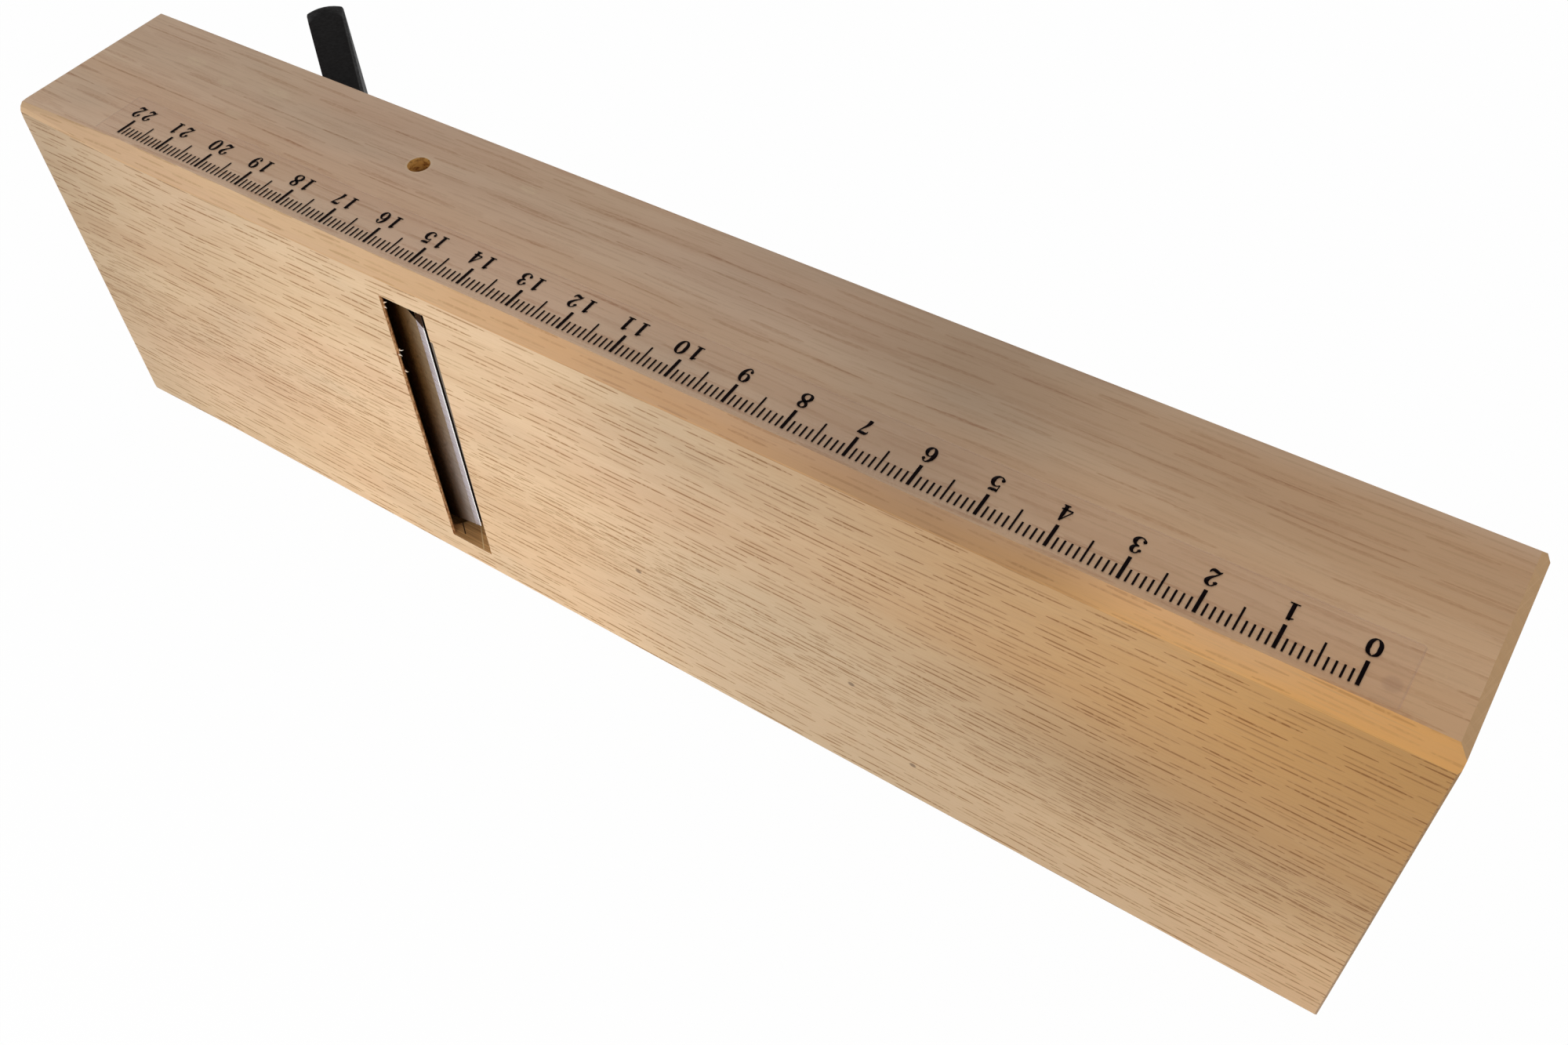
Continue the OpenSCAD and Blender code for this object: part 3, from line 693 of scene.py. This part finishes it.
def makeSteel(name, bright, dull, roughness, grain, clouds):
    material, tree, shader = newMaterial(name, Metallic=1.0)
    (x, y, z), (_, _, nz) = millimetres(tree)
    along = alongBlade(tree, x, y)
    brushed = grainNoise(tree, stretched(tree, (along, z, y), (*grain, 30.0)), 3.0, 0.6)
    cloudy = grainNoise(tree, stretched(tree, (x, y, z), (9.0, 9.0, 9.0)), 2.0)
    metal = blend(tree, fade(tree, cloudy, 0.35, 0.7, 0.0, clouds), bright, dull)
    metal = blend(tree, fade(tree, brushed, 0.45, 0.8, 0.0, clouds), metal, dull)
    metal = blend(tree, times(tree, edgeWear(tree, steel["wornRadius"]), 0.6), metal, steel["wornEdge"])
    # painted highlight: a white glint along the cutting edge; painted shade: the chipbreaker's and the pin's
    # steel darker down in the throat
    if name == "hardSteel":
        edgeGlint = fade(tree, along, 0.32, 0.2)
        metal = blend(tree, fade(tree, unsigned(tree, nz), 0.5, 0.75, 0.0, 0.85), metal, steel["sides"])
        metal = blend(tree, edgeGlint, metal, steel["edgeGlint"])
        tree.links.new(minus(tree, 1.0, edgeGlint), shader.inputs["Metallic"])
    else:
        # painted shade: darker, less metallic and less glossy down in the throat
        throatShade = fade(tree, y, -15.0, -3.0, 0.05, 1.0)
        metal = blend(tree, 1.0, metal, throatShade, "MULTIPLY")
        tree.links.new(throatShade, shader.inputs["Metallic"])
        tree.links.new(times(tree, throatShade, 0.5), shader.inputs["Specular IOR Level"])
    tree.links.new(metal, shader.inputs["Base Color"])
    brushedRoughness = fade(tree, brushed, 0.3, 0.7, roughness - 0.06, roughness + 0.08)
    tree.links.new(brushedRoughness, shader.inputs["Roughness"])
    addBump(tree, shader, brushed, 0.00001, clouds * 0.6)
    return material


dress("blade_iron", makeBlackIron())
for nodeName, *look in steel["each"]:
    dress(nodeName, makeSteel(*look))
print("metal made")

# splinters left standing on the bed's frayed edge
splinters = {
    "foot": -40.2,
    "sunk": 0.08,
    "thickness": 0.19,
    "tip": 0.02,
    "pale": colour(255, 250, 238),
    "dark": colour(255, 224, 186),
    # height, place along the mouth, length, lean and curl in degrees
    "each": [
        (-17.42, 65.9, 0.9, 30, 50), (-17.45, 65.1, 0.6, -25, -60), (-17.4, 55.3, 1.25, 20, 70),
        (-17.5, 54.5, 0.8, -15, -50), (-17.42, 50.5, 0.9, 5, 60),
    ],
}
tufts = []
for height, across, length, lean, curl in splinters["each"]:
    bpy.ops.object.select_all(action="DESELECT")
    bpy.ops.mesh.primitive_cone_add(vertices=5, radius1=splinters["thickness"] * mm,
                                    radius2=splinters["tip"] * mm, depth=length * mm)
    tuft = bpy.context.object
    bpy.ops.object.mode_set(mode="EDIT")
    bpy.ops.mesh.select_all(action="SELECT")
    bpy.ops.mesh.subdivide(number_cuts=3)
    bpy.ops.object.mode_set(mode="OBJECT")
    curled = tuft.modifiers.new("curled", "SIMPLE_DEFORM")
    curled.deform_method = "BEND"
    curled.deform_axis = "X"
    curled.angle = math.radians(curl)
    bpy.ops.object.modifier_apply(modifier="curled")
    turn = math.radians(90 - lean)
    reach = (length / 2 - splinters["sunk"]) * mm
    tuft.rotation_euler = (0, turn, 0)
    tuft.location = (splinters["foot"] * mm + math.sin(turn) * reach, height * mm,
                     across * mm + math.cos(turn) * reach)
    tufts.append(tuft)
selectOnly(tufts[0])
for tuft in tufts:
    tuft.select_set(True)
bpy.ops.object.join()
tufts = bpy.context.object
tufts.name = "mouth_splinters"
bpy.ops.object.transform_apply(location=True, rotation=True, scale=True)
bpy.ops.object.mode_set(mode="EDIT")
faceOutwards()
torn, tree, shader = newMaterial("tornOak", Roughness=0.7, Specular_IOR_Level=0.2)
(x, y, z), _ = millimetres(tree)
strands = grainNoise(tree, stretched(tree, (x, y, z), (0.5, 0.12, 0.12)), 2.0)
strands = blend(tree, fade(tree, strands, 0.35, 0.7), splinters["pale"], splinters["dark"])
tree.links.new(strands, shader.inputs["Base Color"])
tufts.data.materials.append(torn)
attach(tufts, "plane_body")
print("splinters made")

# the clear film that carries the scale, a hair proud of the wood so that light passes it cleanly
filmSheet = {
    "lift": 0.012,
    "cornerRadius": 0.5,
    "clearness": 0.05,
    "rimClearness": 0.14,
    "rimFrom": 0.35,
    "rimTo": 0.05,
    "tint": colour(226, 198, 180),
}
low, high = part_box("scale_film")
bpy.ops.object.select_all(action="DESELECT")
underside = low.z + filmSheet["lift"] * mm
bpy.ops.mesh.primitive_plane_add(size=1, location=((low.x + high.x) / 2, (low.y + high.y) / 2, underside))
film = bpy.context.object
film.name = "film_sheet"
film.scale = (high.x - low.x, high.y - low.y, 1)
bpy.ops.object.transform_apply(location=True, rotation=True, scale=True)
bpy.ops.object.mode_set(mode="EDIT")
bpy.ops.mesh.select_all(action="SELECT")
bpy.ops.mesh.bevel(offset=filmSheet["cornerRadius"] * mm, segments=5, affect="VERTICES")
bpy.ops.mesh.select_all(action="SELECT")
thicken(high.z - low.z - filmSheet["lift"] * mm)
clear, tree, shader = newMaterial("clearFilm", Roughness=0.25, IOR=1.46)
shader.inputs["Base Color"].default_value = filmSheet["tint"]
(x, y, z), _ = millimetres(tree)
waves = grainNoise(tree, stretched(tree, (x, y, z), (16.0, 5.0, 5.0)), 2.0)
addBump(tree, shader, waves, 0.00006, 0.3)
rear, front, upper = low.x * 1000, high.x * 1000, high.y * 1000
rimFrom, rimTo = filmSheet["rimFrom"], filmSheet["rimTo"]
# painted highlight: the film's edges paler and less clear, partly its own visible edge and partly the light
# that it catches
rim = most(tree, fade(tree, y, upper - rimFrom, upper - rimTo), fade(tree, x, rear + rimFrom, rear + rimTo),
           fade(tree, x, front - rimFrom, front - rimTo))
rim = fade(tree, rim, 0.0, 1.0, filmSheet["clearness"], filmSheet["rimClearness"])
tree.links.new(rim, shader.inputs["Alpha"])
film.data.materials.append(clear)
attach(film, "plane_body")
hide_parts("scale_film")
print("film made")

# the printed scale: ticks and numerals in dark ink, 0 at the front and 22 at the rear
scalePrint = {
    "zero": 115.3,
    "tickFoot": -14.5,
    "shortTick": (0.29, 2.14),
    "halfTick": (0.29, 3.98),
    "longTick": (0.52, 3.98),
    "ink": 0.012,
    "numeralTop": -9.73,
    "numeralHeight": 2.88,
    "numeralStep": 2.62,
    "boldness": 1.32,
    "field": (60, 100),                 # a numeral is drawn in a field this wide and high
    "dark": colour(8, 2, 3),
    "faded": colour(22, 9, 10),
}
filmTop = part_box("scale_film")[1].z
inkDark, tree, shader = newMaterial("scaleInk", Roughness=0.6, Specular_IOR_Level=0.02)
(x, y, z), _ = millimetres(tree)
faded = grainNoise(tree, stretched(tree, (x, y, z), (1.1, 1.1, 1.1)), 3.0)
inkTint = blend(tree, fade(tree, faded, 0.45, 0.8), scalePrint["dark"], scalePrint["faded"])
tree.links.new(inkTint, shader.inputs["Base Color"])


def inkTick(name, start, size, step, count):
    # one tick drawn as a flat rectangle and raised by the ink's thickness, then repeated along the scale
    bpy.ops.object.select_all(action="DESELECT")
    along = scalePrint["zero"] - start
    middle = scalePrint["tickFoot"] + size[1] / 2
    bpy.ops.mesh.primitive_plane_add(size=1, location=(along * mm, middle * mm, filmTop))
    tick = bpy.context.object
    tick.name = name
    tick.scale = (size[0] * mm, size[1] * mm, 1)
    bpy.ops.object.transform_apply(location=True, rotation=True, scale=True)
    bpy.ops.object.mode_set(mode="EDIT")
    bpy.ops.mesh.select_all(action="SELECT")
    thicken(scalePrint["ink"] * mm)
    repeatAlong(tick, step, count)
    return tick


def repeatAlong(piece, step, count):
    selectOnly(piece)
    rows = piece.modifiers.new("rows", "ARRAY")
    rows.use_relative_offset = False
    rows.use_constant_offset = True
    rows.constant_offset_displace = (-step * mm, 0, 0)
    rows.count = count
    bpy.ops.object.modifier_apply(modifier="rows")


longTicks = inkTick("longTicks", 0, scalePrint["longTick"], 10, 23)
halfTicks = inkTick("halfTicks", 5, scalePrint["halfTick"], 10, 22)
shortTicks = inkTick("shortTicks", 1, scalePrint["shortTick"], 1, 4)
repeatAlong(shortTicks, 5, 44)
selectOnly(longTicks)
halfTicks.select_set(True)
shortTicks.select_set(True)
bpy.ops.object.join()
longTicks.name = "scale_ticks"
longTicks.data.materials.append(inkDark)
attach(longTicks, "plane_body")
print("ticks made")

# numerals as pen strokes: points on the field, each with half the stroke's width
penStrokes = {
    "0": [
        [(30, 98, 2.2), (48, 82, 6.5), (53, 50, 7.8), (48, 18, 6.5), (30, 2, 2.2), (12, 18, 6.5),
         (7, 50, 7.8), (12, 82, 6.5), (30, 98, 2.2)],
    ],
    "1": [
        [(33, 99, 6.5), (33, 60, 7.2), (33, 20, 7.2), (33, 1, 7.2)],
        [(33, 96, 4.5), (26, 90, 3.6), (12, 84, 2.0)],
        [(10, 2.6, 2.6), (33, 2.6, 2.8), (54, 2.6, 2.6)],
    ],
    "2": [
        [(13, 66, 0.5), (12, 71, 6.5), (13, 78, 7.5), (14, 84, 3.0), (28, 97.5, 2.4), (44, 90, 6.0),
         (50, 74, 8.4), (42, 55, 5.6), (24, 34, 3.0), (9, 12, 2.6)],
        [(4, 3, 0.8), (12, 12, 4.5), (26, 11, 6.6), (42, 6.5, 6.6), (52, 13, 4.0), (55, 27, 1.6)],
    ],
    "3": [
        [(13, 69, 0.5), (12, 74, 6.0), (13, 80, 7.0), (15, 85, 3.0), (27, 97.5, 2.4), (42, 91, 5.6),
         (47, 76, 8.0), (42, 61, 5.2), (24, 53, 2.2)],
        [(22, 53, 2.2), (42, 47, 4.6), (51, 27, 8.6), (43, 9, 5.6), (25, 2.5, 2.4), (12, 10, 3.0),
         (9, 18, 7.4), (9, 25, 6.2), (10, 31, 0.5)],
    ],
    "4": [
        [(42, 99, 3.0), (41, 60, 7.0), (41, 20, 7.2), (41, 1, 7.2)],
        [(40, 97, 2.4), (22, 62, 2.4), (4, 30, 2.4)],
        [(3, 27, 3.4), (30, 27, 3.4), (58, 27, 3.4)],
        [(25, 2.6, 2.6), (41, 2.6, 2.8), (57, 2.6, 2.6)],
    ],
    "5": [
        [(9, 96, 1.6), (14, 89, 6.0), (30, 88, 6.8), (46, 91, 5.0), (50, 99, 0.8)],
        [(10, 96, 2.0), (10, 76, 2.0), (10, 53, 2.0)],
        [(10, 53, 2.0), (26, 64, 2.6), (43, 58, 5.8), (51, 33, 8.6), (43, 10, 5.6), (25, 2.5, 2.4),
         (12, 9, 3.0), (9, 17, 7.2), (9, 24, 6.2), (10, 30, 0.5)],
    ],
    "6": [
        [(48, 70, 0.5), (48, 76, 5.8), (47, 82, 6.8), (46, 88, 3.0), (34, 97.5, 2.3), (17, 84, 5.6),
         (9, 52, 8.6), (14, 16, 6.2), (31, 2.5, 2.4), (46, 12, 6.0), (51, 31, 7.8), (45, 51, 5.2),
         (31, 59, 2.4), (18, 50, 2.0), (14, 36, 1.6)],
    ],
    "7": [
        [(7, 72, 1.0), (9, 86, 3.4), (16, 90, 6.4), (32, 90, 7.0), (46, 90, 6.2), (54, 98, 1.4)],
        [(53, 97, 2.0), (44, 70, 2.6), (32, 44, 4.6), (25, 20, 7.4), (24, 1, 8.2)],
    ],
    "8": [
        [(29, 98, 2.4), (43, 90, 5.2), (47, 76, 6.4), (40, 61, 4.6), (27, 53, 4.2), (13, 41, 6.0),
         (7, 25, 7.4), (13, 8, 5.0), (30, 2.2, 2.4), (47, 9, 4.8), (53, 26, 6.4), (44, 43, 6.8),
         (27, 55, 6.6), (14, 66, 6.2), (10, 79, 5.6), (16, 92, 4.0), (29, 98, 2.4)],
    ],
}
fieldWide, fieldHigh = scalePrint["field"]
penStrokes["9"] = [[(fieldWide - px, fieldHigh - py, half) for px, py, half in penStrokes["6"][0]]]


def drawNumeral(sign):
    # strokes as curves with a flat nib, made a mesh, then raised by the ink's thickness
    parts = []
    for points in penStrokes[sign]:
        bpy.ops.object.select_all(action="DESELECT")
        bpy.ops.curve.primitive_bezier_curve_add(location=(0, 0, 0))
        stroke = bpy.context.object
        line = stroke.data
        line.splines.clear()
        line.dimensions = "3D"
        line.twist_mode = "Z_UP"
        spline = line.splines.new("BEZIER")
        spline.bezier_points.add(len(points) - 1)
        for point, (px, py, half) in zip(spline.bezier_points, points):
            point.co = (px, py, 0)
            point.handle_left_type = point.handle_right_type = "AUTO"
            point.radius = half
        spline.resolution_u = 4
        line.bevel_mode = "OBJECT"
        line.bevel_object = nib
        bpy.ops.object.convert(target="MESH")
        parts.append(bpy.context.object)
    bpy.ops.object.select_all(action="DESELECT")
    for part in parts:
        part.select_set(True)
    bpy.context.view_layer.objects.active = parts[0]
    if len(parts) > 1:
        bpy.ops.object.join()
    numeral = bpy.context.object
    numeral.name = "numeral" + sign
    bpy.ops.object.mode_set(mode="EDIT")
    bpy.ops.mesh.select_all(action="SELECT")
    bpy.ops.mesh.remove_doubles(threshold=0.01)
    thicken(1)
    return numeral


bpy.ops.object.select_all(action="DESELECT")
bpy.ops.curve.primitive_bezier_curve_add(location=(0, 0, 0))
nib = bpy.context.object
nib.name = "nib"
nib.data.splines.clear()
flatNib = nib.data.splines.new("POLY")
flatNib.points.add(1)
flatNib.points[0].co = (-scalePrint["boldness"], 0, 0, 1)
flatNib.points[1].co = (scalePrint["boldness"], 0, 0, 1)
numerals = {sign: drawNumeral(sign) for sign in penStrokes}

printed = []
unit = scalePrint["numeralHeight"] / fieldHigh
for number in range(23):
    signs = str(number)
    for k, sign in enumerate(signs):
        numeral = numerals[sign].copy()
        numeral.data = numerals[sign].data.copy()
        bpy.context.scene.collection.objects.link(numeral)
        # the numerals stand upside down, heads towards the sole, so each is turned half way round
        reading = (k - (len(signs) - 1) / 2) * scalePrint["numeralStep"]
        middle = scalePrint["zero"] - 10 * number - reading
        right = middle + fieldWide / 2 * unit
        foot = scalePrint["numeralTop"] + fieldHigh * unit
        place = Matrix.Translation((right * mm, foot * mm, filmTop))
        size = Matrix.Diagonal((-unit * mm, -unit * mm, scalePrint["ink"] * mm, 1))
        numeral.data.transform(place @ size)
        printed.append(numeral)
selectOnly(printed[0])
for numeral in printed:
    numeral.select_set(True)
bpy.ops.object.join()
printed = bpy.context.object
printed.name = "scale_numerals"
printed.data.materials.clear()
printed.data.materials.append(inkDark)
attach(printed, "plane_body")
for numeral in list(numerals.values()) + [nib]:
    bpy.data.objects.remove(numeral)
print("numerals made")
